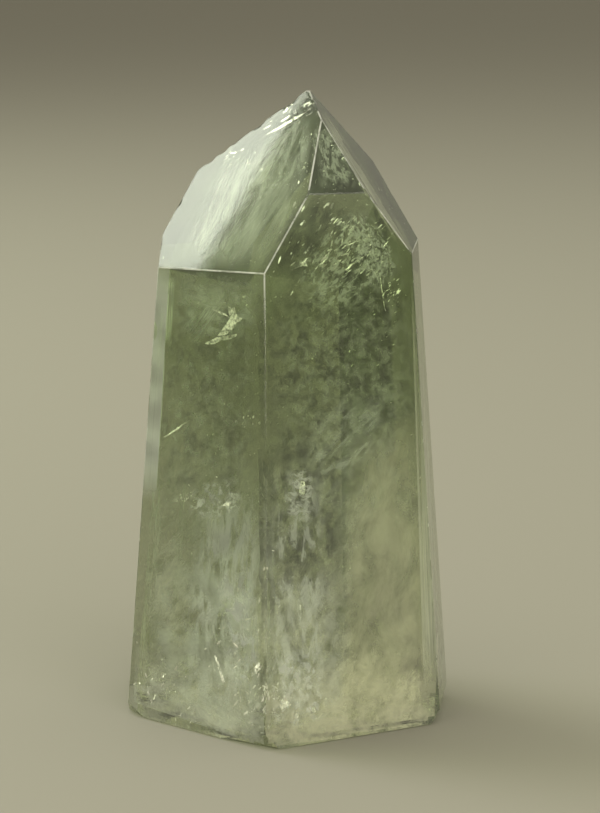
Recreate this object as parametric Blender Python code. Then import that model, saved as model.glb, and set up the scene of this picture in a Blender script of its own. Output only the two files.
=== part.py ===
"""Prasiolite tower: one cut and polished quartz point that stands on its flat base.

The stone is a six-sided block, wider at the foot, that ends in three broad and two narrow
point faces. It is cut from a plain block, one plane for each face, as a lapidary grinds it.
Lengths are in millimetres up to the finished mesh, and azimuths in degrees, anticlockwise
from +X. The front edge of the stone faces -Y.
"""

import math

import bmesh
import bpy
from mathutils import Matrix, Vector

MM = 0.001

TOWER_HEIGHT = 70.0  # to the small blunt at the tip

# Each upright face: azimuth, distance from the axis at the foot, lean inwards in degrees.
SIDES = {
    "front_left": (-127.0, 14.4, 2.9),
    "front_right": (-64.0, 14.2, 3.8),
    "right": (-8.0, 18.3, 4.4),
    "back_right": (50.0, 14.0, 2.9),
    "back_left": (113.0, 14.7, 3.7),
    "left": (176.5, 17.6, 4.4),
}

# Each point face: azimuth, lean inwards in degrees, and how far above the tower's height its
# plane crosses the axis. The broad ones lie over front_left, right and back_left. The
# back_right side has none, and runs up between two of the broad ones.
TIPS = {
    "front_left": (-128.4, 32.2, 0.1),
    "front_right": (-63.5, 26.7, 10.0),
    "right": (-10.65, 33.75, 4.25),
    "back_left": (106.8, 32.3, -3.5),
    "left": (174.25, 27.6, 9.8),
}

# Foot corners nipped off by a flat: reach up the upright edge, then along the foot under the
# first face and under the second.
FOOT_NIPS = (
    ("front_left", "front_right", 1.8, 6.6, 1.4),
    ("left", "front_left", 1.3, 1.5, 2.6),
    ("back_right", "back_left", 1.2, 1.6, 1.3),
    ("back_left", "left", 0.9, 1.4, 1.1),
)
FOOT_BEVEL_SIDE = "right"  # the one foot edge that is ground back along its whole length
FOOT_BEVEL_UP = 1.7
FOOT_BEVEL_IN = 1.05

EDGE_FLAT = 0.16  # width of the narrow flat that polishing leaves on every edge

# Shell-shaped chips: the edge's two faces, height, length along the edge, depth, and how squarely
# the chip lies on the first face, where 0.5 is evenly across the edge.
CHIPS = (
    ("tip front_left", "tip back_left", 67.2, 7.9, 0.24, 0.92),
    ("tip front_left", "tip back_left", 68.7, 2.8, 0.26, 0.74),
    ("tip front_left", "tip back_left", 66.2, 2.4, 0.20, 0.70),
    ("tip front_left", "tip back_left", 64.3, 1.5, 0.18, 0.50),
    ("tip front_left", "tip back_left", 63.3, 1.7, 0.22, 0.45),
    ("tip front_left", "tip back_left", 62.2, 1.8, 0.20, 0.55),
    ("tip front_left", "tip right", 68.6, 1.7, 0.22, 0.55),
    ("tip right", "tip back_left", 69.3, 1.8, 0.20, 0.50),
    ("tip front_left", "tip left", 57.6, 1.4, 0.12, 0.50),
    ("tip right", "back_right", 58.4, 1.8, 0.16, 0.50),
    ("front_left", "front_right", 31.4, 3.4, 0.36, 0.55),
    ("front_left", "front_right", 8.4, 1.4, 0.12, 0.50),
    ("left", "front_left", 9.8, 1.7, 0.22, 0.50),
    ("left", "front_left", 38.4, 1.6, 0.14, 0.50),
    ("right", "back_right", 24.0, 2.2, 0.20, 0.50),
    ("back_right", "back_left", 17.5, 2.6, 0.26, 0.50),
)
CHIP_ROUNDNESS = 4  # subdivisions of the ball that cuts a chip

STONE_GREEN = (0.40, 0.44, 0.31, 1.0)
STONE_ROUGHNESS = 0.06
STONE_IOR = 1.544


def side_plane(name):
    """Outward direction and offset of an upright face: points on it have direction . p = offset."""
    azimuth, distance, lean = SIDES[name]
    turn = math.radians(azimuth)
    direction = Vector((math.cos(turn), math.sin(turn), math.tan(math.radians(lean))))
    return direction.normalized(), distance / direction.length


def tip_plane(name):
    """The same for a face of the point."""
    azimuth, lean, above = TIPS[name]
    turn = math.radians(azimuth)
    slope = math.tan(math.radians(lean))
    direction = Vector((math.cos(turn), math.sin(turn), slope))
    return direction.normalized(), (TOWER_HEIGHT + above) * slope / direction.length


def foot_plane():
    return Vector((0.0, 0.0, -1.0)), 0.0


def plane_named(name):
    return tip_plane(name[len("tip "):]) if name.startswith("tip ") else side_plane(name)


def point_where_meet(*planes):
    """The one point on three planes."""
    rows = Matrix([direction for direction, _ in planes])
    return rows.inverted() @ Vector([offset for _, offset in planes])


def level_plane(height):
    return Vector((0.0, 0.0, 1.0)), height


def nip_plane(first, second, up, along_first, along_second):
    """A flat across a foot corner, through a point on each of the three edges that meet there."""
    corner = point_where_meet(side_plane(first), side_plane(second), foot_plane())
    upper = point_where_meet(side_plane(first), side_plane(second), level_plane(up))
    first_way = side_plane(first)[0].cross(foot_plane()[0]).normalized()
    second_way = side_plane(second)[0].cross(foot_plane()[0]).normalized()
    if first_way.dot(side_plane(second)[0]) > 0:
        first_way.negate()
    if second_way.dot(side_plane(first)[0]) > 0:
        second_way.negate()
    on_first = corner + first_way * along_first
    on_second = corner + second_way * along_second
    direction = (on_first - upper).cross(on_second - upper).normalized()
    if direction.dot(corner - upper) < 0:
        direction.negate()
    return direction, direction.dot(upper)


def bevel_plane():
    """The flat ground along one whole edge of the foot."""
    outward = side_plane(FOOT_BEVEL_SIDE)[0].copy()
    outward.z = 0.0
    outward.normalize()
    direction = (outward / FOOT_BEVEL_IN - Vector((0, 0, 1)) / FOOT_BEVEL_UP).normalized()
    at_foot = outward * (SIDES[FOOT_BEVEL_SIDE][1] - FOOT_BEVEL_IN)
    return direction, direction.dot(at_foot)


def grind(bm, direction, offset):
    """Cuts away everything beyond a plane and closes the cut with one flat face."""
    cut = bmesh.ops.bisect_plane(
        bm,
        geom=bm.verts[:] + bm.edges[:] + bm.faces[:],
        dist=1e-5,
        plane_co=direction * offset,
        plane_no=direction,
        clear_outer=True,
    )
    rim = [item for item in cut["geom_cut"] if isinstance(item, bmesh.types.BMEdge)]
    if len(rim) > 2:
        bmesh.ops.edgeloop_fill(bm, edges=rim)


def stone_mesh():
    """The ground stone, with a narrow flat on each edge, centred over the origin."""
    bm = bmesh.new()
    bmesh.ops.create_cube(bm, size=2 * TOWER_HEIGHT)
    bmesh.ops.translate(bm, verts=bm.verts, vec=(0, 0, TOWER_HEIGHT))
    grind(bm, *foot_plane())
    for name in SIDES:
        grind(bm, *side_plane(name))
    for name in TIPS:
        grind(bm, *tip_plane(name))
    grind(bm, *level_plane(TOWER_HEIGHT))
    for nip in FOOT_NIPS:
        grind(bm, *nip_plane(*nip))
    grind(bm, *bevel_plane())
    bmesh.ops.bevel(
        bm,
        geom=bm.edges[:],
        offset=EDGE_FLAT,
        offset_type="WIDTH",
        segments=1,
        profile=0.5,
        affect="EDGES",
        material=-1,
        clamp_overlap=True,
    )
    bmesh.ops.recalc_face_normals(bm, faces=bm.faces)
    return bm


def middle_of(bm):
    """The middle of the stone's box, seen from above."""
    across = [vert.co.x for vert in bm.verts]
    deep = [vert.co.y for vert in bm.verts]
    return Vector(((min(across) + max(across)) / 2, (min(deep) + max(deep)) / 2, 0.0))


def object_from(bm, name, shift):
    """Turns a mesh in millimetres into an object in metres."""
    bmesh.ops.translate(bm, verts=bm.verts, vec=-shift)
    bmesh.ops.scale(bm, verts=bm.verts, vec=(MM, MM, MM))
    mesh = bpy.data.meshes.new(name)
    bm.to_mesh(mesh)
    bm.free()
    obj = bpy.data.objects.new(name, mesh)
    bpy.context.scene.collection.objects.link(obj)
    return obj


def chip_ball(number, first, second, height, length, depth, squareness, shift):
    """The ball that scoops one chip out of an edge: it stands off so that it bites depth deep."""
    radius = (length * length / 4 + depth * depth) / (2 * depth)
    on_edge = point_where_meet(plane_named(first), plane_named(second), level_plane(height))
    outward = plane_named(second)[0].slerp(plane_named(first)[0], squareness)
    bm = bmesh.new()
    bmesh.ops.create_icosphere(bm, subdivisions=CHIP_ROUNDNESS, radius=radius)
    bmesh.ops.rotate(bm, verts=bm.verts, matrix=Matrix.Rotation(1.0 + number, 3, outward))
    bmesh.ops.translate(bm, verts=bm.verts, vec=on_edge + outward * (radius - depth))
    ball = object_from(bm, f"chip_cutter_{number}", shift)
    ball.hide_render = True
    ball.display_type = "WIRE"
    return ball


def scoop(stone, ball):
    cut = stone.modifiers.new(ball.name, "BOOLEAN")
    cut.operation = "DIFFERENCE"
    cut.solver = "EXACT"
    cut.object = ball


def stone_material():
    material = bpy.data.materials.new("polished_prasiolite")
    material.use_nodes = True
    shader = material.node_tree.nodes["Principled BSDF"]
    shader.inputs["Base Color"].default_value = STONE_GREEN
    shader.inputs["Roughness"].default_value = STONE_ROUGHNESS
    shader.inputs["Metallic"].default_value = 0.0
    shader.inputs["IOR"].default_value = STONE_IOR
    shader.inputs["Transmission Weight"].default_value = 1.0
    material.diffuse_color = STONE_GREEN
    return material


def main():
    for obj in list(bpy.data.objects):
        bpy.data.objects.remove(obj, do_unlink=True)
    bm = stone_mesh()
    shift = middle_of(bm)
    stone = object_from(bm, "prasiolite_tower", shift)
    stone.data.materials.append(stone_material())
    for number, chip in enumerate(CHIPS, start=1):
        scoop(stone, chip_ball(number, *chip, shift))


main()
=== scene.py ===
import math
import random

import bmesh
import bpy
from mathutils import Matrix, Vector, noise


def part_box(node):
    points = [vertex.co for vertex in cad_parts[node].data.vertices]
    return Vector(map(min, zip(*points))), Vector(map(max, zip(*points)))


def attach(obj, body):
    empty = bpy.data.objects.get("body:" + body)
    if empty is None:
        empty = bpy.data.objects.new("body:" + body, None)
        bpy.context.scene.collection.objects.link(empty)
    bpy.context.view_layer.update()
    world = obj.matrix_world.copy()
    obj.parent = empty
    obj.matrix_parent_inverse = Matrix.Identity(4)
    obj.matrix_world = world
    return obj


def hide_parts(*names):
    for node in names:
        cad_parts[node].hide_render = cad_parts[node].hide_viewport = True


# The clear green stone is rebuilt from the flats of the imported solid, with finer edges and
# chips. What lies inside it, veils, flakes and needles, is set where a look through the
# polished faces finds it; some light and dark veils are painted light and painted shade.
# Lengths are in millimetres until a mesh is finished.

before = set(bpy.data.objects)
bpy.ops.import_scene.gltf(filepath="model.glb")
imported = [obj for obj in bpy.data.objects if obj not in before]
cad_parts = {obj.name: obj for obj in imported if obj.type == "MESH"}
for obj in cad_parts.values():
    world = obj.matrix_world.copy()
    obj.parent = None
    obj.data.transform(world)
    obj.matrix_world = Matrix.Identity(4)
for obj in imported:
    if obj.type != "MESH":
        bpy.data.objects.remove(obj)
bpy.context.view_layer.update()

mm = 0.001
stoneNode = "prasiolite_tower"
photoWidth = 600
photoHeight = 813
quartzIndex = 1.544


def fromHex(code):
    # sRGB hex to the linear colour that the shaders take
    parts = [int(code[i:i + 2], 16) / 255 for i in (0, 2, 4)]
    linear = [p / 12.92 if p <= 0.04045 else ((p + 0.055) / 1.055) ** 2.4 for p in parts]
    return (*linear, 1.0)


def addNode(tree, kind, settings=None, links=None):
    # settings: a socket or property and its value; links: a socket and the output that feeds it
    node = tree.nodes.new(kind)
    for key, value in (settings or {}).items():
        if key == "stops":  # a colour ramp's places and colours, its two ends first
            elements = node.color_ramp.elements
            for index, (place, code) in enumerate(value):
                element = elements[index] if index < 2 else elements.new(place)
                element.position = place
                element.color = fromHex(code)
        elif isinstance(key, str) and hasattr(node, key):
            setattr(node, key, value)
        else:
            node.inputs[key].default_value = value
    for key, output in (links or {}).items():
        tree.links.new(output, node.inputs[key])
    return node


times = {"operation": "MULTIPLY"}  # the settings of a Math node that multiplies


def newMaterial(name):
    material = bpy.data.materials.new(name)
    material.use_nodes = True
    material.node_tree.nodes.clear()
    return material, material.node_tree


def heightShare(tree, place, low, high, below=0.0, above=1.0):
    # one value up to a height in mm, another from a second height on, and a slope between
    parts = addNode(tree, "ShaderNodeSeparateXYZ", links={"Vector": place})
    return addNode(tree, "ShaderNodeMapRange", {
        "From Min": low * mm,
        "From Max": high * mm,
        "To Min": below,
        "To Max": above,
    }, {"Value": parts.outputs["Z"]}).outputs["Result"]


def noiseMask(tree, place, size, detail, rough, low, high, stretch=(1, 1, 1), turn=(0, 0, 0)):
    # clouds of a size in mm, between two levels of the noise, drawn out along the turned axes;
    # a piece's settings hold these values in the same order
    laid = addNode(tree, "ShaderNodeMapping", {
        "vector_type": "TEXTURE",
        "Rotation": tuple(math.radians(angle) for angle in turn),
        "Scale": tuple(part * size * mm for part in stretch),
    }, {"Vector": place})
    cloud = addNode(tree, "ShaderNodeTexNoise", {
        "Scale": 1.0,
        "Detail": detail,
        "Roughness": rough,
    }, {"Vector": laid.outputs["Vector"]})
    level = addNode(tree, "ShaderNodeMapRange", {
        "From Min": low,
        "From Max": high,
    }, {"Value": cloud.outputs["Fac"]})
    return level.outputs["Result"]


def meshObject(bm, name, material, smooth=False):
    # a mesh in millimetres becomes an object in metres, standing at the origin
    bmesh.ops.scale(bm, verts=bm.verts, vec=(mm, mm, mm))
    mesh = bpy.data.meshes.new(name)
    bm.to_mesh(mesh)
    bm.free()
    if smooth:
        mesh.shade_smooth()
    obj = bpy.data.objects.new(name, mesh)
    bpy.context.scene.collection.objects.link(obj)
    if material:
        mesh.materials.append(material)
    return obj


# The camera, at the photo's place

cameraSettings = {
    "place": (1.12, -252.92, 86.83),  # mm
    "down": 11.655,  # degrees
    "roll": 0.166,  # degrees
    "focal": 101.83,  # mm on a 36 mm sensor along the tall side
    "sensor": 36.0,
    "nearest": 10.0,  # mm
}


def makeCamera():
    data = bpy.data.cameras.new("camera")
    data.lens = cameraSettings["focal"]
    data.sensor_width = cameraSettings["sensor"]
    data.clip_start = cameraSettings["nearest"] * mm
    camera = bpy.data.objects.new("camera", data)
    bpy.context.scene.collection.objects.link(camera)
    camera.location = Vector(cameraSettings["place"]) * mm
    down = math.radians(cameraSettings["down"])
    roll = math.radians(cameraSettings["roll"])
    turned = Matrix.Rotation(math.pi / 2 - down, 4, "X") @ Matrix.Rotation(roll, 4, "Z")
    camera.rotation_euler = turned.to_euler()
    bpy.context.scene.camera = camera
    return turned.to_3x3()


cameraTurn = makeCamera()
pixelsPerFocal = cameraSettings["focal"] / cameraSettings["sensor"] * photoHeight


def lookThrough(px, py):
    # the camera's place in mm and its direction through a pixel of the photo
    across = (px - photoWidth / 2) / pixelsPerFocal
    upward = (photoHeight / 2 - py) / pixelsPerFocal
    return Vector(cameraSettings["place"]), (cameraTurn @ Vector((across, upward, -1))).normalized()


# The stone's faces

flatFinding = {
    "sameDirection": 0.9995,  # cosine under which two triangles lie in one flat
    "sameOffset": 0.15,  # mm
    "narrowest": 0.3,  # mm, so the flats along the edges are left out
    "smallest": 4.0,  # mm2, so the chips are left out
    "footTurn": -0.3,  # a small flat counts only where it faces down this much
}


def flatsOfNode(node):
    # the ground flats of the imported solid, each as an outward direction and an offset in mm
    mesh = node.data
    groups = []
    for face in sorted(mesh.polygons, key=lambda face: -face.area):
        direction = face.normal.copy()
        corners = [mesh.vertices[i].co / mm for i in face.vertices]
        offset = direction.dot(corners[0])
        area = face.area / mm ** 2
        for group in groups:
            alike = group["direction"].dot(direction) > flatFinding["sameDirection"]
            if alike and abs(group["offset"] - offset) < flatFinding["sameOffset"]:
                group["area"] += area
                group["corners"].extend(corners)
                break
        else:
            groups.append({"direction": direction, "offset": offset, "area": area, "corners": corners})
    kept = []
    for group in groups:
        reach = max((corner - group["corners"][0]).length for corner in group["corners"])
        wide = group["area"] / reach > flatFinding["narrowest"]
        large = group["area"] > flatFinding["smallest"]
        atFoot = group["direction"].z < flatFinding["footTurn"]
        if wide and (large or atFoot):
            kept.append((group["direction"], group["offset"]))
    return kept


flats = flatsOfNode(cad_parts[stoneNode])
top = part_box(stoneNode)[1].z / mm
print("flats found:", len(flats))

barely = 1e-6  # below this a way runs along a flat and never meets it
farthestShare = 0.92  # of the way through the stone: nothing is set beyond it

# each main face and the way it looks: azimuth from +X and lean from upright, in degrees
faceWays = {
    "frontLeft": (-127, 3),
    "frontRight": (-64, 4),
    "right": (-8, 4),
    "backRight": (50, 3),
    "backLeft": (113, 4),
    "left": (176, 4),
    "tipFrontLeft": (-128, 32),
    "tipFrontRight": (-63, 27),
    "tipRight": (-11, 34),
    "tipBackLeft": (107, 32),
    "tipLeft": (174, 28),
}


def flatNamed(name):
    # the ground flat that looks most nearly the named way
    azimuth, lean = (math.radians(angle) for angle in faceWays[name])
    way = Vector((math.cos(azimuth) * math.cos(lean), math.sin(azimuth) * math.cos(lean), math.sin(lean)))
    return max(flats, key=lambda flat: flat[0].dot(way))


def edgePoint(first, second, height):
    # where two faces meet at a height
    rows = Matrix((flatNamed(first)[0], flatNamed(second)[0], (0, 0, 1)))
    return rows.inverted() @ Vector((flatNamed(first)[1], flatNamed(second)[1], height))


def refracted(way, normal, ratio):
    # a ray's way after it passes a flat that faces it
    facing = -way.dot(normal)
    bent = way * ratio + normal * (ratio * facing - math.sqrt(1 - ratio ** 2 * (1 - facing ** 2)))
    return bent.normalized()


def insideLook(px, py):
    # where a look through a pixel enters the stone, its way inside, and how far it goes
    start, way = lookThrough(px, py)
    facing = [flat for flat in flats if way.dot(flat[0]) < 0]
    reach, normal = max(
        (((offset - start.dot(direction)) / way.dot(direction), direction) for direction, offset in facing),
        key=lambda found: found[0],
    )
    entry = start + way * reach
    inner = refracted(way, normal, 1 / quartzIndex)
    ahead = [flat for flat in flats if inner.dot(flat[0]) > barely]
    depth = min((offset - entry.dot(direction)) / inner.dot(direction) for direction, offset in ahead)
    return entry, inner, depth


def seenAt(px, py, depth):
    # the place inside the stone that a look through a pixel meets at a depth in mm
    entry, inner, deepest = insideLook(px, py)
    return entry + inner * min(depth, deepest * farthestShare)


def insideStone(point, inset):
    return all(direction.dot(point) < offset - inset for direction, offset in flats)


blockSettings = {
    "size": 200,  # mm, of the block before it is cut
    "tolerance": 1e-5,  # mm
    "footTurn": -0.1,  # a flat that faces down more than this takes the inset of the foot
    "edgeFlat": 0.16,  # mm
    "edgeSteps": 3,
}


def blockCutByFlats(inset=0.0, footInset=0.0):
    # a block cut by each flat in turn, each moved inwards by the inset
    bm = bmesh.new()
    bmesh.ops.create_cube(bm, size=blockSettings["size"])
    for direction, offset in flats + [(Vector((0, 0, 1)), top)]:
        inwards = inset if direction.z > blockSettings["footTurn"] else footInset
        cutAway(bm, direction, offset - inwards)
    return bm


def cutAway(bm, direction, offset):
    # takes off what lies beyond a flat and closes the cut
    cut = bmesh.ops.bisect_plane(
        bm,
        geom=bm.verts[:] + bm.edges[:] + bm.faces[:],
        dist=blockSettings["tolerance"],
        plane_co=direction * offset,
        plane_no=direction,
        clear_outer=True,
    )
    rim = [item for item in cut["geom_cut"] if isinstance(item, bmesh.types.BMEdge)]
    if len(rim) > 2:
        bmesh.ops.edgeloop_fill(bm, edges=rim)


def groundStone():
    # the polished block, rounded along its edges
    bm = blockCutByFlats()
    wear = bm.faces.layers.float.new("edgeWear")
    rounded = bmesh.ops.bevel(
        bm,
        geom=bm.edges[:],
        offset=blockSettings["edgeFlat"],
        offset_type="WIDTH",
        segments=blockSettings["edgeSteps"],
        profile=0.5,
        affect="EDGES",
        material=-1,
        clamp_overlap=True,
    )
    for face in rounded["faces"]:
        face[wear] = 1.0
    bmesh.ops.recalc_face_normals(bm, faces=bm.faces)
    return bm


chipSettings = {
    "ripple": 0.012,  # mm high
    "rippleLength": 0.55,  # mm from crest to crest
    "rough": 0.02,  # mm of unevenness
    "roughGrain": 1.1,  # bumps to the mm
    "struckAt": 0.35,  # where along the chip the blow fell that the rings run round
    "cells": 22,
    "cutterReach": 0.75,  # half a cutter's width for each mm of the chip's length
    # the edge's two faces, height, length along the edge, depth, and how squarely the chip
    # lies on the first face, where 0.5 is evenly across the edge
    "chips": (
        ("tipFrontLeft", "tipBackLeft", 68.7, 2.8, 0.26, 0.74),
        ("tipFrontLeft", "tipBackLeft", 66.2, 2.4, 0.20, 0.70),
        ("tipFrontLeft", "tipBackLeft", 64.3, 1.5, 0.18, 0.50),
        ("tipFrontLeft", "tipBackLeft", 63.3, 1.7, 0.22, 0.45),
        ("tipFrontLeft", "tipBackLeft", 62.2, 1.8, 0.20, 0.55),
        ("tipFrontLeft", "tipRight", 68.6, 1.7, 0.22, 0.55),
        ("tipRight", "tipBackLeft", 69.3, 1.8, 0.20, 0.50),
        ("tipFrontLeft", "tipLeft", 57.6, 1.4, 0.12, 0.50),
        ("tipRight", "backRight", 58.4, 1.8, 0.16, 0.50),
        ("frontLeft", "frontRight", 31.4, 3.4, 0.26, 0.55),
        ("frontLeft", "frontRight", 8.4, 1.4, 0.12, 0.50),
        ("left", "frontLeft", 9.8, 1.7, 0.22, 0.50),
        ("left", "frontLeft", 38.4, 1.6, 0.14, 0.50),
        ("right", "backRight", 24.0, 2.2, 0.20, 0.50),
        ("backRight", "backLeft", 17.5, 2.6, 0.26, 0.50),
    ),
    # scars of thin flakes on the front left point face: where the deep rim starts and ends in
    # the photo, how wide the scar is at each end, its depth in mm and its ripple
    "scars": (
        ((257, 172), (313, 117), 5.2, 1.6, 0.26, 0.010),
        ((246, 135), (306, 108), 2.0, 3.0, 0.16, 0.026),
    ),
    "scarGrain": 0.9,  # bumps to the mm
    "rimSway": 0.5,  # mm to each side
    "rimSlope": 1.5,
    "endSlope": 0.5,
    "ringSlant": 0.12,
}


def scarCutter(number, settings, start, end, wideStart, wideEnd, depth, ripple):
    # a block whose underside is deep along one rim and rises out of the face beyond it
    first = insideLook(*start)[0]
    last = insideLook(*end)[0]
    outward = flatNamed("tipFrontLeft")[0]
    along = (last - first).normalized()
    across = outward.cross(along)
    length = (last - first).length
    bm = bmesh.new()
    cells = settings["cells"] * 2
    bmesh.ops.create_grid(bm, x_segments=cells, y_segments=cells, size=length * settings["cutterReach"])
    for vert in bm.verts:
        share = min(max(vert.co.x / length + 0.5, 0), 1)
        width = wideStart + (wideEnd - wideStart) * share
        beyond = max(abs(vert.co.x) - length / 2, 0)
        uneven = noise.noise(vert.co * settings["scarGrain"] + Vector((number * 9, 5, 0)))
        reach = vert.co.y + uneven * settings["rimSway"]
        rise = depth * reach / width if reach > 0 else -reach * settings["rimSlope"]
        ring = math.sin((reach - settings["ringSlant"] * vert.co.x) / settings["rippleLength"] * math.pi)
        vert.co.z = rise - depth + beyond * settings["endSlope"] + (ring + uneven) * ripple
    raised = bmesh.ops.extrude_face_region(bm, geom=bm.faces[:])["geom"]
    for vert in [item for item in raised if isinstance(item, bmesh.types.BMVert)]:
        vert.co.z = length
    bmesh.ops.recalc_face_normals(bm, faces=bm.faces)
    bmesh.ops.rotate(bm, verts=bm.verts, matrix=Matrix((along, across, outward)).transposed())
    bmesh.ops.translate(bm, verts=bm.verts, vec=(first + last) / 2)
    return meshObject(bm, f"scarCutter{number}", None, smooth=True)


def chipCutter(number, settings, first, second, height, length, depth, squareness):
    # a block whose underside is a shallow dish with the rings of a shell-shaped break
    radius = (length * length / 4 + depth * depth) / (2 * depth)
    bm = bmesh.new()
    cells = settings["cells"]
    bmesh.ops.create_grid(bm, x_segments=cells, y_segments=cells, size=length * settings["cutterReach"])
    struck = Vector((0, length * settings["struckAt"], 0))
    for vert in bm.verts:
        ring = math.sin((vert.co - struck).length / settings["rippleLength"] * 2 * math.pi)
        bump = noise.noise(vert.co * settings["roughGrain"] + Vector((number * 9, 0, 0)))
        uneven = bump * settings["rough"]
        vert.co.z = vert.co.length_squared / (2 * radius) - depth + ring * settings["ripple"] + uneven
    under = bm.faces[:]
    raised = bmesh.ops.extrude_face_region(bm, geom=under)["geom"]
    lid = [item for item in raised if isinstance(item, bmesh.types.BMVert)]
    for vert in lid:
        vert.co.z = length
    bmesh.ops.recalc_face_normals(bm, faces=bm.faces)
    outward = flatNamed(second)[0].slerp(flatNamed(first)[0], squareness)
    along = flatNamed(first)[0].cross(flatNamed(second)[0]).normalized()
    turn = Matrix((along, outward.cross(along), outward)).transposed()
    bmesh.ops.rotate(bm, verts=bm.verts, matrix=turn)
    bmesh.ops.translate(bm, verts=bm.verts, vec=edgePoint(first, second, height))
    return meshObject(bm, f"chipCutter{number}", None, smooth=True)


def chip(stone, settings):
    # breaks the chips out of the stone and keeps the result as its mesh
    cutters = [chipCutter(n, settings, *place) for n, place in enumerate(settings["chips"])]
    cutters += [scarCutter(n, settings, *place) for n, place in enumerate(settings["scars"])]
    for cutter in cutters:
        cut = stone.modifiers.new(cutter.name, "BOOLEAN")
        cut.operation = "DIFFERENCE"
        cut.solver = "EXACT"
        cut.object = cutter
    graph = bpy.context.evaluated_depsgraph_get()
    broken = bpy.data.meshes.new_from_object(stone.evaluated_get(graph))
    stone.modifiers.clear()
    stone.data = broken
    # all faces are shaded smooth, with sharp edges round the flats: Cycles loses track of what
    # fills the stone where light enters through a smooth face and leaves through a flat one
    bm = bmesh.new()
    bm.from_mesh(broken)
    for edge in bm.edges:
        edge.smooth = all(face.smooth for face in edge.link_faces)
    for face in bm.faces:
        face.smooth = True
    bm.to_mesh(broken)
    bm.free()
    for cutter in cutters:
        bpy.data.objects.remove(cutter)


edgeSettings = {
    "proud": 0.006,  # mm above the stone, so that the two don't share a surface
    "cuts": 40,
    "cutFrom": 2,  # mm, the shortest edge that is cut
    "colour": "f4f6ea",
    "roughness": 0.7,
    "opacity": 0.5,
    "patches": (1.6, 4.0, 0.7, 0.28, 0.56),
    "wornAbove": (46, 51, 0.06, 1.2),  # heights in mm, and the wear below and above them
    "chipShare": 0.55,  # of a chip's length: the line is gone this near to its middle
    "scarReach": 1.65,  # mm, the same for a scar
    "keen": (("tipFrontRight", "frontRight"), ("frontRight", "right")),  # edges with no wear
    "keenReach": 0.2,  # mm
}


def rubbedMaterial(settings):
    # the matt line that wear leaves along an edge, thicker and thinner by turns
    material, tree = newMaterial("rubbedEdge")
    place = addNode(tree, "ShaderNodeTexCoord").outputs["Object"]
    patches = noiseMask(tree, place, *settings["patches"])
    upward = heightShare(tree, place, *settings["wornAbove"])
    worn = addNode(tree, "ShaderNodeMath", times, {0: patches, 1: upward})
    alpha = addNode(tree, "ShaderNodeMath", times | {1: settings["opacity"]}, {0: worn.outputs["Value"]})
    shader = addNode(tree, "ShaderNodeBsdfPrincipled", {
        "Base Color": fromHex(settings["colour"]),
        "Roughness": settings["roughness"],
    }, {"Alpha": alpha.outputs["Value"]})
    addNode(tree, "ShaderNodeOutputMaterial", links={"Surface": shader.outputs["BSDF"]})
    return material


def makeRubbedEdges(settings):
    # the rounded edges alone, a hair above the stone, left out where a chip took them
    bm = groundStone()
    wear = bm.faces.layers.float["edgeWear"]
    flat = [face for face in bm.faces if face[wear] < 0.5]
    bmesh.ops.delete(bm, geom=flat, context="FACES")
    long = [edge for edge in bm.edges if edge.calc_length() > settings["cutFrom"]]
    bmesh.ops.subdivide_edges(bm, edges=long, cuts=settings["cuts"], use_grid_fill=True)
    bm.normal_update()
    for vert in bm.verts:
        vert.co += vert.normal * settings["proud"]
    broken = []
    for first, second, height, length, *_ in chipSettings["chips"]:
        broken.append((edgePoint(first, second, height), length * settings["chipShare"]))
    for start, end, *_ in chipSettings["scars"]:
        middle = insideLook(*start)[0].lerp(insideLook(*end)[0], 0.5)
        broken.append((middle, settings["scarReach"]))
    keen = [(flatNamed(first), flatNamed(second)) for first, second in settings["keen"]]
    near = settings["keenReach"]
    lost = []
    for face in bm.faces:
        middle = face.calc_center_median()
        inChip = any((middle - centre).length < reach for centre, reach in broken)
        onKeen = any(all(way.dot(middle) > offset - near for way, offset in pair) for pair in keen)
        if inChip or onKeen:
            lost.append(face)
    bmesh.ops.delete(bm, geom=lost, context="FACES")
    insidePiece(bm, "prasiolite_rubbedEdges", rubbedMaterial(settings))


prasioliteSettings = {
    "polish": 0.045,  # roughness
    "wornEdge": 0.34,  # roughness of the rubbed edges
    "rubbed": (1.1, 3.0, 0.6, 0.42, 0.7),
    "rubbedColour": "fbfcf4",
    # the tint by share of the stone's height, the two ends first
    "tint": (
        (0.0, "fbfbf2"),
        (1.0, "eaf1e0"),
        (0.15, "f4f5e8"),
        (0.32, "e4e8d6"),
        (0.46, "ccd3b9"),
        (0.60, "b4bf9c"),
        (0.76, "c6d0b2"),
    ),
    "clear": 0.93,  # the rest is the fine haze that scatters light near the surface
    "absorbColour": "b6c297",
    "absorbDensity": 62.0,  # per metre
    "lampPass": "f0f4e6",
    "waveLength": 1.6,  # mm, of the waviness that polishing leaves
    "waveHeight": 0.0016,  # mm
}


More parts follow.
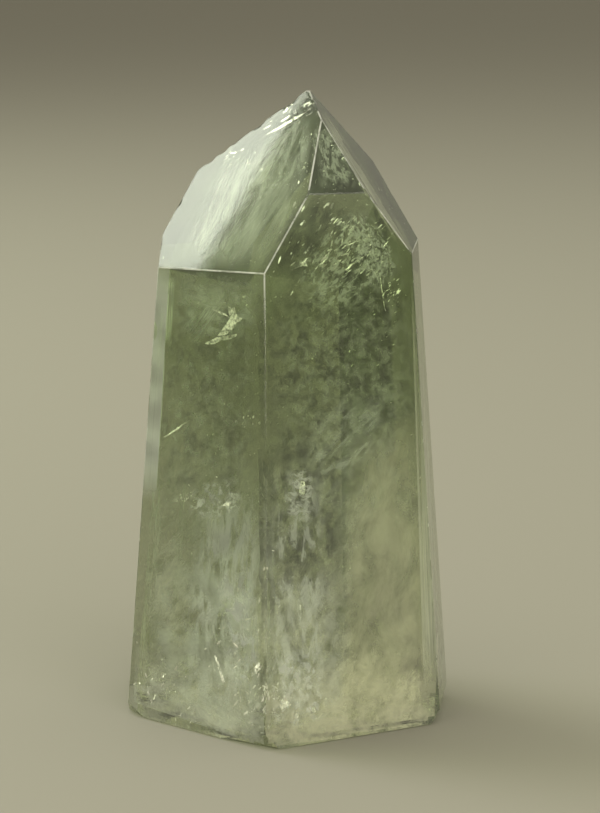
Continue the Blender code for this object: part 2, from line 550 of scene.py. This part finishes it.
def prasioliteMaterial(settings):
    # polished green quartz: clear, greenest above the middle and milky towards the foot, with
    # a slight waviness in its polish and matt rubbed edges
    material, tree = newMaterial("polishedPrasiolite")
    place = addNode(tree, "ShaderNodeTexCoord").outputs["Object"]
    upTheStone = heightShare(tree, place, 0, top)
    body = addNode(tree, "ShaderNodeValToRGB", {"stops": settings["tint"]}, {"Fac": upTheStone})
    wear = addNode(tree, "ShaderNodeAttribute", {"attribute_name": "edgeWear"}).outputs["Fac"]
    rubbed = noiseMask(tree, place, *settings["rubbed"])
    worn = addNode(tree, "ShaderNodeMath", times, {0: wear, 1: rubbed}).outputs["Value"]
    colour = addNode(tree, "ShaderNodeMix", {
        "data_type": "RGBA",
        7: fromHex(settings["rubbedColour"]),
    }, {0: worn, 6: body.outputs["Color"]}).outputs[2]
    roughness = addNode(tree, "ShaderNodeMapRange", {
        "To Min": settings["polish"],
        "To Max": settings["wornEdge"],
    }, {"Value": worn})
    wave = addNode(tree, "ShaderNodeTexNoise", {
        "Scale": 1 / (settings["waveLength"] * mm),
        "Detail": 1.0,
    }, {"Vector": place})
    bump = addNode(tree, "ShaderNodeBump", {
        "Strength": 1.0,
        "Distance": settings["waveHeight"] * mm,
    }, {"Height": wave.outputs["Fac"]})
    shader = addNode(tree, "ShaderNodeBsdfPrincipled", {
        "IOR": quartzIndex,
        "Transmission Weight": settings["clear"],
    }, {
        "Base Color": colour,
        "Roughness": roughness.outputs["Result"],
        "Normal": bump.outputs["Normal"],
    })
    absorb = addNode(tree, "ShaderNodeVolumeAbsorption", {
        "Color": fromHex(settings["absorbColour"]),
        "Density": settings["absorbDensity"],
    })
    # lamplight passes straight through the faces to what lies inside
    passing = addNode(tree, "ShaderNodeBsdfTransparent", {"Color": fromHex(settings["lampPass"])})
    forLamps = addNode(tree, "ShaderNodeLightPath").outputs["Is Shadow Ray"]
    surface = addNode(tree, "ShaderNodeMixShader", links={
        0: forLamps,
        1: shader.outputs["BSDF"],
        2: passing.outputs["BSDF"],
    })
    addNode(tree, "ShaderNodeOutputMaterial", links={
        "Surface": surface.outputs["Shader"],
        "Volume": absorb.outputs["Volume"],
    })
    return material


stone = meshObject(groundStone(), "prasiolite_stone", prasioliteMaterial(prasioliteSettings))
chip(stone, chipSettings)
print("stone ground and chipped, faces:", len(stone.data.polygons))
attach(stone, "root")
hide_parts(stoneNode)

# What lies inside: fine haze, healed cracks, flakes and needles, and sheets of painted light and painted
# shade

hazeSettings = {
    "depths": (3.0, 6.5),  # mm under the upright faces
    "overFoot": 0.35,  # mm
    "sway": 0.5,  # mm
    "swayGrain": 0.11,  # swells to the mm
    "opacity": 0.8,
    "broad": (9.0, 4.0, 0.66, 0.42, 0.58, (1, 1, 1.5), (0, 35, 0)),
    "fine": (2.4, 6.0, 0.74, 0.42, 0.62, (1, 1, 2.4), (10, 42, 0)),
    "thickness": (3.5, 35, 1.8, 0.2),  # heights in mm, and the thickness below and above them
    "tint": ((0.0, "f3f0d4"), (1.0, "e6f0dc"), (0.3, "e9ecd9"), (0.6, "c9dcae")),  # by height, too
}


def hazeMaterial(settings):
    # a mist of fluid specks too small to see, thicker in clouds and thin between them
    material, tree = newMaterial("milkyHaze")
    place = addNode(tree, "ShaderNodeTexCoord").outputs["Object"]
    broad = noiseMask(tree, place, *settings["broad"])
    fine = noiseMask(tree, place, *settings["fine"])
    thick = heightShare(tree, place, *settings["thickness"])
    clouds = addNode(tree, "ShaderNodeMath", times, {0: broad, 1: fine})
    mist = addNode(tree, "ShaderNodeMath", times, {0: clouds.outputs["Value"], 1: thick})
    alpha = addNode(tree, "ShaderNodeMath", times | {1: settings["opacity"]}, {0: mist.outputs["Value"]})
    upTheStone = heightShare(tree, place, 0, top)
    colour = addNode(tree, "ShaderNodeValToRGB", {"stops": settings["tint"]}, {"Fac": upTheStone})
    shader = addNode(tree, "ShaderNodeBsdfPrincipled", {
        "Roughness": 1.0,
        "Specular IOR Level": 0.0,
    }, {"Base Color": colour.outputs["Color"], "Alpha": alpha.outputs["Value"]})
    addNode(tree, "ShaderNodeOutputMaterial", links={"Surface": shader.outputs["BSDF"]})
    return material


def makeHaze(settings):
    noise.seed_set(7)  # or else noise_vector starts from the clock
    material = hazeMaterial(settings)
    for number, depth in enumerate(settings["depths"]):
        bm = blockCutByFlats(depth, settings["overFoot"])
        for vert in bm.verts:
            swell = noise.noise_vector(vert.co * settings["swayGrain"] + Vector((number, 0, 0)))
            vert.co += swell * settings["sway"]
        insidePiece(bm, f"prasiolite_haze_{number + 1}", material)


windowWay = Vector((-0.75, 0.08, 0.66)).normalized()  # from the stone to the window
litFrom = 0.1  # how far a flat must face the window for its light to enter there


def lampWayFrom(place):
    # the way inside the stone from which the window's light reaches a place
    best = None
    for direction, offset in flats:
        if windowWay.dot(direction) > litFrom:
            way = -refracted(-windowWay, direction, 1 / quartzIndex)
            ahead = [flat for flat in flats if way.dot(flat[0]) > barely]
            nearest = min(ahead, key=lambda flat: (flat[1] - place.dot(flat[0])) / way.dot(flat[0]))
            if nearest[0] == direction:
                return way
            best = best or way
    return best


glintSettings = {
    "colour": "f8f5ee",
    "roughness": 0.3,
    "thickness": 0.06,  # of a flake's width
    "healed": (0.5, 6.0, 0.7, 0.40, 0.56),
}


def glintMaterial(name, settings, broken=False):
    # the mirror of a thin gap in the stone, whitish and a little uneven, or broken up by healing
    material, tree = newMaterial(name)
    shader = addNode(tree, "ShaderNodeBsdfPrincipled", {
        "Base Color": fromHex(settings["colour"]),
        "Metallic": 1.0,
        "Roughness": settings["roughness"],
    })
    if broken:
        place = addNode(tree, "ShaderNodeTexCoord").outputs["Object"]
        tree.links.new(noiseMask(tree, place, *settings["healed"]), shader.inputs["Alpha"])
    addNode(tree, "ShaderNodeOutputMaterial", links={"Surface": shader.outputs["BSDF"]})
    return material


def insidePiece(bm, name, material, smooth=False):
    # a piece that lies within the stone and belongs to it
    piece = meshObject(bm, name, material, smooth)
    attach(piece, "root")
    return piece


flakeSettings = {
    "stray": 0.45,  # how far a flake's tilt strays from mirroring the window
    "ragged": (0.7, 1.25),  # how far each corner is pulled in or out
    "spread": 0.6,  # of a cluster's size below, the usual distance from its middle
    "deepest": 0.9,  # of the way through the stone
    "lieStray": 32,  # degrees to each side of the angle at which a cluster lies
    "shortOnes": 1.8,  # the higher, the fewer long ones
    "wide": (0.12, 0.5),  # of the length
    "widest": 0.26,  # mm
    # px, py, spread across and down, count, shortest, longest, nearest and farthest in mm, and
    # the angle at which the flakes seem to lie, in degrees from level
    "clusters": (
        ((345, 238), (44, 40), 150, 0.16, 1.20, 1.0, 3.6, 50),
        ((345, 262), (36, 16), 70, 0.18, 1.20, 1.0, 3.2, 35),
        ((374, 250), (12, 12), 34, 0.22, 0.90, 1.0, 3.2, 60),
        ((392, 292), (8, 20), 40, 0.14, 0.60, 1.0, 3.2, 60),
        ((350, 330), (40, 50), 60, 0.10, 0.50, 3, 15, 50),
        ((276, 108), (26, 12), 60, 0.16, 0.90, 0.3, 1.6, 35),
        ((225, 152), (26, 14), 44, 0.14, 0.70, 0.3, 1.6, 40),
        ((300, 100), (12, 12), 30, 0.16, 0.80, 0.3, 1.2, 50),
        ((246, 420), (10, 8), 14, 0.20, 0.60, 1.0, 3.0, 75),
        ((330, 165), (14, 26), 26, 0.10, 0.50, 2, 8, 60),
        ((280, 170), (22, 40), 20, 0.10, 0.40, 2, 8, 60),
        ((235, 300), (24, 22), 26, 0.10, 0.60, 3, 10, 50),
        ((158, 330), (5, 50), 60, 0.12, 0.60, 0.8, 4, 80),
        ((185, 498), (13, 4), 34, 0.15, 0.60, 3, 6, 20),
        ((218, 507), (8, 9), 22, 0.15, 0.60, 3, 7, 70),
        ((300, 495), (10, 16), 26, 0.15, 0.70, 3, 8, 80),
        ((250, 640), (40, 44), 140, 0.14, 0.90, 0.8, 4, 75),
        ((270, 705), (42, 22), 150, 0.18, 1.10, 0.8, 3.5, 60),
        ((160, 685), (18, 18), 50, 0.15, 0.90, 0.8, 4, 70),
        ((200, 715), (30, 6), 40, 0.20, 0.80, 0.8, 4, 60),
        ((360, 569), (14, 3), 12, 0.25, 0.60, 3, 6, 10),
        ((350, 600), (44, 80), 60, 0.10, 0.45, 2, 14, 60),
        ((220, 430), (40, 70), 30, 0.10, 0.40, 2, 14, 55),
    ),
    "scattered": 700,  # small ones anywhere in the stone
    "scatteredLong": (0.08, 0.40),  # mm
    "scatteredWide": 0.4,  # of the length
    "scatteredThick": 0.03,  # of the length
    "clearance": 0.25,  # mm from the faces
}


def addSliver(bm, place, facing, along, long, wide, thick):
    # a thin closed flake, flat to one way and long another way
    made = bmesh.ops.create_icosphere(bm, subdivisions=1, radius=0.5)["verts"]
    for vert in made:
        vert.co *= random.uniform(*flakeSettings["ragged"])
    bmesh.ops.scale(bm, verts=made, vec=(long, wide, thick))
    across = facing.cross(along).normalized()
    turn = Matrix((across.cross(facing), across, facing)).transposed()
    bmesh.ops.rotate(bm, verts=made, matrix=turn)
    bmesh.ops.translate(bm, verts=made, vec=place)


def anyWay():
    return Vector((random.gauss(0, 1), random.gauss(0, 1), random.gauss(0, 1))).normalized()


def makeFlakes(settings, material):
    random.seed(7)
    bm = bmesh.new()
    for (px, py), (across, down), count, shortest, longest, near, far, lie in settings["clusters"]:
        for _ in range(count):
            x = random.gauss(px, across * settings["spread"])
            y = random.gauss(py, down * settings["spread"])
            entry, inner, deepest = insideLook(x, y)
            depth = random.uniform(near, min(far, deepest * settings["deepest"]))
            place = entry + inner * depth
            angle = math.radians(random.gauss(lie, settings["lieStray"]))
            ahead = seenAt(x + 4 * math.cos(angle), y - 4 * math.sin(angle), depth)  # 4 px on
            if insideStone(place, settings["clearance"]):
                facing = (lampWayFrom(place) - inner).normalized()
                facing = (facing + anyWay() * random.uniform(0, settings["stray"])).normalized()
                long = shortest + (longest - shortest) * random.random() ** settings["shortOnes"]
                wide = min(long * random.uniform(*settings["wide"]), settings["widest"])
                thick = wide * glintSettings["thickness"]
                addSliver(bm, place, facing, ahead - place, long, wide, thick)
    lower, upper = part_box(stoneNode)
    placed = 0
    while placed < settings["scattered"]:
        place = Vector([random.uniform(lower[i], upper[i]) / mm for i in range(3)])
        if insideStone(place, settings["clearance"] * 2):
            long = random.uniform(*settings["scatteredLong"])
            wide = long * settings["scatteredWide"]
            thick = long * settings["scatteredThick"]
            addSliver(bm, place, anyWay(), anyWay(), long, wide, thick)
            placed += 1
    insidePiece(bm, "prasiolite_flakes", material)


plateSettings = {
    "thickness": 0.04,  # mm
    # outline in px as the photo shows it, and depth in mm
    "plates": {
        "triangle": (((290.6, 270.8), (306.8, 258.2), (305.8, 262.5), (307.6, 266.6), (302, 266)), 2.2),
        "aboveTriangle": (((303.2, 253.6), (309.5, 246.2), (311.2, 247.4), (305.4, 254.2)), 2.2),
        "fishBody": (
            ((228.4, 306.2), (231.4, 308.6), (234.6, 306.8), (236.3, 313.4), (237.7, 317.2),
             (242.8, 318.1), (240, 320.9), (236.3, 322.8), (232.5, 329.4), (225.9, 335),
             (217.5, 335.9), (225.9, 324.7), (230.2, 318.1), (228.8, 312.5)), 2),
        "fishTail": (
            ((204.8, 343.4), (217.5, 337.2), (226.5, 336), (237.2, 334.1), (236.3, 336.4),
             (229.7, 339.2), (221.3, 340.6), (214.7, 343.9), (208.1, 344.6)), 2.1),
        "fishArm": (
            ((212, 306.2), (213.6, 306), (215, 309.4), (225.2, 313.6), (230.4, 318),
             (224.8, 315.4), (213.6, 311)), 2),
        "leftStreak": (((162, 439), (176, 428.6), (189.5, 420), (176.6, 430.4)), 4),
        "needleRight": (((379.2, 273), (379.8, 273), (385.2, 311), (384.8, 311)), 2.6),
        "lowStreak": (((214.6, 656), (216.4, 656), (225, 682), (222.4, 682.6)), 1.1),
        "whiteBlob": (
            ((299, 482), (304.4, 481), (306, 490), (303.6, 496), (299.6, 493)), 1.2),
        "footYellow": (((278, 703), (285, 697), (290, 704), (283, 712)), 0.9),
        "footWhite": (((291, 712), (297, 709), (299, 717), (293, 719)), 0.9),
        "footSpark": (((308, 706), (313, 703), (316, 712), (311, 714)), 0.9),
        "ridgeLine": (
            ((263, 136.6), (276, 128.2), (292, 119.2), (307, 111.6), (293, 121.2),
             (277, 130.4)), 0.25),
        "ridgeHigh": (((280, 121.4), (290, 115), (290.8, 116.2), (282, 122)), 0.25),
        "ridgeMiddle": (((263.4, 129.2), (270, 124.8), (271, 125.8), (265, 129.8)), 0.25),
        "ridgeLow": (((240, 150.8), (243.4, 147.8), (243.8, 149.6), (241.6, 151.4)), 0.25),
        "pointSpot": (((259.2, 170.6), (262.6, 168.2), (262.2, 170.8)), 0.25),
        "lowSpark": (((254, 668), (259, 662), (261, 668), (256, 674)), 1),
        "arcRight": (((222, 505.8), (227, 502), (231.6, 503.6), (227.8, 506.4)), 1.2),
        "leftUnderTip": (((196.5, 303), (203.5, 292.5), (205.2, 293.2), (198.6, 304.4)), 3),
        "rightSpark": (
            ((396.6, 292.4), (399.4, 288), (399, 290.6), (401.6, 289.6), (398, 294.4)), 1.6),
    },
}


def makePlates(settings, material):
    # larger mirror flakes, each lying where and as the photo shows it
    bm = bmesh.new()
    for outline, depth in settings["plates"].values():
        middleX = sum(x for x, _ in outline) / len(outline)
        middleY = sum(y for _, y in outline) / len(outline)
        centre = seenAt(middleX, middleY, depth)
        facing = (lampWayFrom(centre) - insideLook(middleX, middleY)[1]).normalized()
        corners = []
        for x, y in outline:
            entry, inner, _ = insideLook(x, y)
            reach = (centre - entry).dot(facing) / inner.dot(facing)
            corners.append(bm.verts.new(entry + inner * reach))
        face = bm.faces.new(corners)
        lifted = bmesh.ops.extrude_face_region(bm, geom=[face])["geom"]
        moved = [item for item in lifted if isinstance(item, bmesh.types.BMVert)]
        bmesh.ops.translate(bm, verts=moved, vec=facing * settings["thickness"])
    bmesh.ops.recalc_face_normals(bm, faces=bm.faces)
    insidePiece(bm, "prasiolite_plates", material)


veilSettings = {
    "cells": 26,
    "crumple": 0.7,  # mm
    "crumpleGrain": 0.4,  # folds to the mm
    "leastDepth": 0.15,  # mm
    "clearance": 0.08,  # mm from the faces
    "bubbles": {"Scale": 1.0, "Detail": 6.0, "Roughness": 0.66, "Distortion": 0.5},
    "shift": (7.3, 3.1),  # moves the bubbles on from veil to veil, so that no two are alike
    # veils that don't fade out on all four sides
    "kinds": {
        "leftStripe": "stripe",
        "leftStripeDeep": "stripe",
        "rightStripe": "stripe",
        "rimLeft": "rim",
        "rimRight": "rim",
    },
    # where a fade is full: at this height on a rim, or at this product of the two distances
    # from the ends of a stripe, or of all four from the sides of a soft veil
    "full": {"rim": 0.9, "stripe": 0.14, "soft": 0.035},
    # four corners in px; depth in mm, grains along the first side and up the second, levels of
    # the noise between which the veil thickens, opacity and colour
    "veils": {
        "footRight": (((340, 738), (436, 718), (428, 400), (346, 440)),
         1.6, (3, 5), 0.22, 0.58, 0.62, "eceac8"),
        "footLeft": (((146, 712), (262, 742), (262, 560), (146, 560)),
         2.0, (4, 5), 0.36, 0.62, 0.6, "e9efe4"),
        "footMiddle": (((268, 745), (352, 735), (352, 560), (268, 560)),
         1.6, (4, 6), 0.38, 0.62, 0.48, "f0f3ea"),
        "footGlow": (((200, 738), (262, 748), (262, 660), (200, 650)),
         1.6, (4, 4), 0.4, 0.6, 0.6, "f0f3e6"),
        "cottonLeft": (((176, 735), (264, 742), (264, 490), (196, 500)),
         3.0, (8, 6), 0.42, 0.57, 1.0, "f6f9f6"),
        "cottonRight": (((268, 730), (326, 735), (326, 460), (268, 460)),
         2.0, (6, 8), 0.48, 0.59, 0.6, "f6f9f6"),
        "middleRight": (((290, 560), (420, 500), (404, 360), (300, 420)),
         2.6, (5, 6), 0.46, 0.62, 0.22, "e6eee6"),
        "slantRight": (((292, 452), (330, 500), (398, 430), (356, 380)),
         2.2, (7, 3), 0.48, 0.62, 0.45, "e8efe6"),
        "topFibres": (((283, 262), (330, 330), (404, 262), (354, 204)),
         1.6, (16, 9), 0.48, 0.6, 0.75, "e6f2d6"),
        "topCloud": (((340, 215), (372, 300), (406, 268), (366, 206)),
         1.2, (14, 12), 0.46, 0.6, 0.85, "e6f0da"),
        "pointLeft": (((168, 262), (258, 266), (300, 120), (215, 165)),
         2.0, (11, 1.2), 0.38, 0.62, 0.7, "ecf1ea"),
        "pointRight": (((318, 190), (360, 190), (334, 125), (316, 130)),
         2.0, (6, 6), 0.44, 0.6, 0.8, "e2ebd9"),
        # painted light: the pale stripes along the left edge stand in for the lit left face seen through
        # the front
        "leftStripe": (((142, 500), (156, 500), (170, 258), (158, 258)),
         0.4, (3, 1.2), 0.16, 0.44, 1.0, "ffffff"),
        "leftStripeDeep": (((146, 470), (158, 470), (171, 264), (158.5, 264)),
         0.9, (3, 1.6), 0.3, 0.5, 1.0, "f2fae4"),
        "leftStripeTop": (((158, 345), (172, 345), (176, 276), (164, 276)),
         1.2, (7, 0.7), 0.36, 0.58, 0.9, "e6f0d4"),
        "underPoint": (((170, 330), (258, 345), (258, 282), (172, 278)),
         2.5, (6, 5), 0.42, 0.6, 0.7, "e4ecdc"),
        "slantLeft": (((176, 330), (196, 350), (234, 296), (214, 284)),
         2.0, (9, 1.6), 0.46, 0.6, 0.8, "e6efd9"),
        "tipCloud": (((222, 202), (305, 194), (315, 120), (288, 110)),
         1.4, (8, 3), 0.38, 0.62, 0.7, "eaf0e2"),
        # painted light: a pale stripe along the right edge, drawn like the left ones
        "rightStripe": (((424, 690), (438, 690), (423, 280), (411, 280)),
         0.4, (3, 0.8), 0.3, 0.6, 0.9, "eef0da"),
        "rimRight": (((268, 747), (434, 726), (438, 640), (268, 670)),
         0.6, (9, 5), 0.3, 0.6, 0.75, "efecce"),
        "rimLeft": (((134, 702), (264, 747), (264, 680), (136, 640)),
         0.6, (9, 5), 0.34, 0.62, 0.75, "eef1e2"),
        "mottleRight": (((264, 480), (426, 470), (412, 240), (268, 270)),
         2.0, (16, 20), 0.46, 0.62, 0.36, "dde8cc"),
        "mottleLeft": (((150, 500), (258, 500), (258, 285), (162, 278)),
         2.0, (12, 20), 0.48, 0.64, 0.4, "dde8cf"),
        # painted shade: these dark sheets are no cracks; they stand in for darker reflections inside the
        # stone
        "paintedShadeRight": (((258, 470), (428, 470), (400, 185), (300, 190)),
         2.7, (8, 12), 0.48, 0.62, 0.75, "2f3722"),
        "paintedShadeLeft": (((148, 520), (258, 520), (258, 285), (162, 278)),
         2.7, (6, 10), 0.48, 0.64, 0.55, "39402c"),
        "paintedShadeTop": (((260, 274), (312, 280), (344, 196), (312, 190)),
         1.8, (5, 5), 0.38, 0.6, 0.75, "2c3420"),
        "paintedShadeUpper": (((260, 430), (352, 430), (344, 282), (262, 284)),
         2.3, (6, 9), 0.42, 0.62, 0.65, "343c26"),
        "paintedShadeMiddle": (((260, 640), (344, 620), (356, 400), (260, 410)),
         2.4, (6, 10), 0.42, 0.6, 0.85, "343c26"),
        "paintedShadeWedge": (((276, 610), (298, 676), (314, 668), (292, 596)),
         1.2, (3, 3), 0.36, 0.6, 0.5, "4a523c"),
        "starLeft": (((186, 520), (246, 518), (240, 476), (192, 484)),
         1.4, (9, 5), 0.48, 0.58, 1.0, "f6f9f2"),
        "starMiddle": (((284, 524), (314, 524), (314, 466), (288, 466)),
         1.4, (3, 8), 0.46, 0.58, 1.0, "f4f7f2"),
        "wispLow": (((226, 690), (262, 700), (256, 560), (216, 570)),
         1.3, (5, 8), 0.48, 0.58, 1.0, "f8fbf8"),
        "wispCorner": (((270, 735), (330, 722), (322, 640), (272, 650)),
         1.2, (7, 7), 0.48, 0.58, 1.0, "f8fbf6"),
        "pointMist": (((196, 270), (262, 276), (312, 190), (268, 150)),
         1.0, (5, 1), 0.3, 0.6, 0.5, "e6ecdc"),
        "underEdge": (((170, 306), (266, 316), (266, 272), (164, 266)),
         0.9, (7, 3), 0.34, 0.6, 0.55, "cdd6ba"),
        # painted light and painted shade: a pale line and a dark band along the right point edge
        "paintedLightAlongRightEdge": (((398, 246), (414, 246), (326, 110), (318, 112)),
         0.4, (6, 0.5), 0.4, 0.55, 0.95, "eceed2"),
        "paintedShadeAlongRightEdge": (((400, 246), (414, 246), (326, 110), (318, 112)),
         0.6, (8, 0.4), 0.48, 0.54, 0.9, "5a6242"),
    },
}


def fadeOut(tree, laid, kind):
    # full in the middle and nothing at the sides; a stripe fades at its ends alone, a rim upwards
    parts = addNode(tree, "ShaderNodeSeparateXYZ", links={"Vector": laid})
    rests, shares = {}, {}
    for axis in ("X", "Y"):
        along = parts.outputs[axis]
        rest = addNode(tree, "ShaderNodeMath", {"operation": "SUBTRACT", 0: 1.0}, {1: along})
        rests[axis] = rest.outputs["Value"]
        share = addNode(tree, "ShaderNodeMath", times, {0: along, 1: rests[axis]})
        shares[axis] = share.outputs["Value"]
    if kind == "rim":
        left = rests["Y"]
    elif kind == "stripe":
        left = shares["Y"]
    else:
        both = addNode(tree, "ShaderNodeMath", times, {0: shares["X"], 1: shares["Y"]})
        left = both.outputs["Value"]
    full = veilSettings["full"][kind]
    return addNode(tree, "ShaderNodeMapRange", {"From Max": full}, {"Value": left}).outputs["Result"]


def veilMaterial(name, number, kind, grains, low, high, opacity, colour):
    # a healed crack full of tiny fluid bubbles, which whitens where they crowd and fades out; a dark one is
    # painted shade and a side stripe painted light, drawn the same way
    material, tree = newMaterial(f"{name}Veil")
    laid = addNode(tree, "ShaderNodeUVMap", {"uv_map": "veil"}).outputs["UV"]
    shiftX, shiftY = veilSettings["shift"]
    grain = addNode(tree, "ShaderNodeMapping", {
        "Location": (number * shiftX, number * shiftY, 0),
        "Scale": (*grains, 1),
    }, {"Vector": laid})
    cloud = addNode(tree, "ShaderNodeTexNoise", veilSettings["bubbles"], {
        "Vector": grain.outputs["Vector"],
    })
    level = addNode(tree, "ShaderNodeMapRange", {
        "From Min": low,
        "From Max": high,
    }, {"Value": cloud.outputs["Fac"]})
    fade = fadeOut(tree, laid, kind)
    faded = addNode(tree, "ShaderNodeMath", times, {0: level.outputs["Result"], 1: fade})
    alpha = addNode(tree, "ShaderNodeMath", times | {1: opacity}, {0: faded.outputs["Value"]})
    shader = addNode(tree, "ShaderNodeBsdfPrincipled", {
        "Base Color": fromHex(colour),
        "Roughness": 1.0,
        "Specular IOR Level": 0.0,
    }, {"Alpha": alpha.outputs["Value"]})
    addNode(tree, "ShaderNodeOutputMaterial", links={"Surface": shader.outputs["BSDF"]})
    return material


def makeVeils(settings):
    for number, (name, row) in enumerate(settings["veils"].items()):
        corners, depth, grains, low, high, opacity, colour = row
        first, second, third, fourth = (Vector(corner) for corner in corners)
        bm = bmesh.new()
        bm.loops.layers.uv.new("veil")
        cells = settings["cells"]
        bmesh.ops.create_grid(bm, x_segments=cells, y_segments=cells, size=0.5, calc_uvs=True)
        for vert in bm.verts:
            u, v = vert.co.x + 0.5, vert.co.y + 0.5
            spot = first.lerp(second, u).lerp(fourth.lerp(third, u), v)
            place = seenAt(spot.x, spot.y, depth)
            fold = noise.noise(place * settings["crumpleGrain"] + Vector((number * 5, 0, 0)))
            folded = depth + fold * settings["crumple"]
            vert.co = seenAt(spot.x, spot.y, max(folded, settings["leastDepth"]))
        # looks that miss the stone leave corners outside it, which are taken off
        outside = [vert for vert in bm.verts if not insideStone(vert.co, settings["clearance"])]
        bmesh.ops.delete(bm, geom=outside, context="VERTS")
        kind = settings["kinds"].get(name, "soft")
        material = veilMaterial(name, number, kind, grains, low, high, opacity, colour)
        veil = insidePiece(bm, f"prasiolite_veil_{name}", material, smooth=True)
        # the sheets of painted light and painted shade cast no shadow either
        veil.visible_shadow = False  # the bubbles are too few and small to shade what lies behind


makeRubbedEdges(edgeSettings)
makeHaze(hazeSettings)
makeFlakes(flakeSettings, glintMaterial("crackGlint", glintSettings))
makePlates(plateSettings, glintMaterial("brokenGlint", glintSettings, broken=True))
print("flakes and plates laid inside")
makeVeils(veilSettings)
print("veils laid inside")

# The room: a pale floor and soft lights

floorSettings = {
    "colour": "9f9c8d",
    "roughness": 0.8,
    "radius": 6000,  # mm
    "under": 0.1,  # mm below the stone, so that the two don't share a surface
}

roomSettings = {
    "colour": ((0.0, "8f8a7d"), (1.0, "aaa698")),  # from straight below to straight above
    "strength": 1.0,
}


def makeFloor(settings):
    # matt painted board: an even, pale ground with no gloss
    material, tree = newMaterial("paleStudioFloor")
    shader = addNode(tree, "ShaderNodeBsdfPrincipled", {
        "Base Color": fromHex(settings["colour"]),
        "Roughness": settings["roughness"],
    })
    addNode(tree, "ShaderNodeOutputMaterial", links={"Surface": shader.outputs["BSDF"]})
    bm = bmesh.new()
    bmesh.ops.create_circle(bm, cap_ends=True, segments=96, radius=settings["radius"])
    bmesh.ops.translate(bm, verts=bm.verts, vec=(0, 0, -settings["under"]))
    floor = meshObject(bm, "floor", material)


def makeWorld(settings):
    # a soft room: a little lighter above than below, so that it also lights what lies inside
    world = bpy.data.worlds.new("studio")
    bpy.context.scene.world = world
    world.use_nodes = True
    tree = world.node_tree
    tree.nodes.clear()
    way = addNode(tree, "ShaderNodeTexCoord").outputs["Generated"]
    parts = addNode(tree, "ShaderNodeSeparateXYZ", links={"Vector": way})
    upward = addNode(tree, "ShaderNodeMapRange", {"From Min": -1.0}, {"Value": parts.outputs["Z"]})
    room = addNode(tree, "ShaderNodeValToRGB", {"stops": settings["colour"]}, {
        "Fac": upward.outputs["Result"],
    })
    background = addNode(tree, "ShaderNodeBackground", {
        "Strength": settings["strength"],
    }, {"Color": room.outputs["Color"]})
    addNode(tree, "ShaderNodeOutputWorld", links={"Surface": background.outputs["Background"]})


def aimed(place, aim):
    # a lamp's turn where it points from one place to another
    return (Vector(aim) - Vector(place)).to_track_quat("-Z", "Y").to_matrix()


def softbox(name, place, turn, width, height, radiance, tint="fffaf2"):
    # place in mm; radiance is what a look at the lamp sees
    data = bpy.data.lights.new(name, "AREA")
    data.shape = "RECTANGLE"
    data.size = width * mm
    data.size_y = height * mm
    data.color = fromHex(tint)[:3]
    data.energy = radiance * math.pi * data.size * data.size_y
    lamp = bpy.data.objects.new(name, data)
    bpy.context.scene.collection.objects.link(lamp)
    lamp.location = Vector(place) * mm
    lamp.rotation_euler = turn.to_euler()
    return lamp


def mirrorLook(px, py, direction, offset):
    # where a look through a pixel goes after it mirrors in a flat
    start, way = lookThrough(px, py)
    reach = (offset - start.dot(direction)) / way.dot(direction)
    return start + way * reach, way - direction * (2 * way.dot(direction))


windowSettings = {
    "face": "tipFrontLeft",  # the face that mirrors the window
    "corner": (190.6, 285),  # px, the lower corner of the window in that face
    "upEdge": (256, 174),  # px, a point further up the same side
    "distance": 700.0,  # mm from the face
    "wide": 300.0,
    "tall": 420.0,
    "radiance": 9.4,
    "colour": "faffee",
}


def makeWindow(settings):
    # a lamp where the face's mirror image of the window says it stands
    direction, offset = flatNamed(settings["face"])
    cornerStart, cornerWay = mirrorLook(*settings["corner"], direction, offset)
    edgeStart, edgeWay = mirrorLook(*settings["upEdge"], direction, offset)
    corner = cornerStart + cornerWay * settings["distance"]
    along = edgeStart + edgeWay * settings["distance"] - corner
    along = (along - cornerWay * along.dot(cornerWay)).normalized()
    across = along.cross(cornerWay)
    aside = -across if across.x > 0 else across
    centre = corner + aside * settings["wide"] / 2 + along * settings["tall"] / 2
    turn = Matrix((across, along, cornerWay)).transposed()
    wide, tall = settings["wide"], settings["tall"]
    softbox("windowLight", centre, turn, wide, tall, settings["radiance"], settings["colour"])


# soft square lamps: place and aim in mm, side in mm and radiance
lampSettings = {
    "leftFill": ((-900, -260, 60), (0, 0, 30), 500, 1.6),
    "ceilingGlow": ((0, -120, 900), (0, 0, 30), 900, 1.0),
    "rightFill": ((620, -620, 420), (0, 0, 20), 420, 2.4),
    "frontFill": ((250, -920, 160), (0, 0, 35), 500, 5.5),  # by the camera: it lights the veils
}

makeFloor(floorSettings)
makeWorld(roomSettings)
makeWindow(windowSettings)
for name, (place, aim, side, radiance) in lampSettings.items():
    softbox(name, place, aimed(place, aim), side, side, radiance)
print("floor, room and lamps set")

scene = bpy.context.scene
scene.view_settings.view_transform = "Standard"
scene.cycles.max_bounces = 16
scene.cycles.diffuse_bounces = 3
scene.cycles.glossy_bounces = 8
scene.cycles.transmission_bounces = 12
scene.cycles.transparent_max_bounces = 32
scene.cycles.caustics_refractive = False
scene.cycles.caustics_reflective = False
